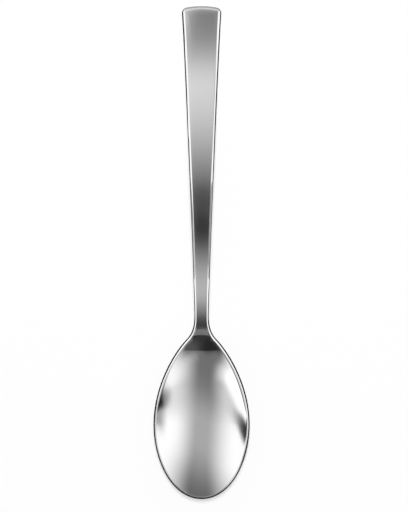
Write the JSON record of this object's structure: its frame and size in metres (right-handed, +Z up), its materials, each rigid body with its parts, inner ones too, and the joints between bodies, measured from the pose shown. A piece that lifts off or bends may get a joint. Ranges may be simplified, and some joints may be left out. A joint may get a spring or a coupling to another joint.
{
  "type": "dessert spoon",
  "caption": "One-piece steel dessert spoon: mirror-polished oval bowl, slim neck, and an arched satin handle with bevelled edges that widens to a square end.",
  "frame": {"origin": "on the table, under the middle of the spoon's length and width, as it lies with its bowl open upwards", "axes": "+Y along the spoon, from the tip of the bowl to the end of the handle; +X across it; +Z up, out of the bowl"},
  "size_m": [0.036, 0.185, 0.0187],
  "materials": {
    "stainless_steel": "mirror polish in the bowl and along the bevelled edges, fine satin on the handle's face and back"
  },
  "bodies": {
    "root": {"spoon": "stainless_steel"}
  },
  "joints": []
}
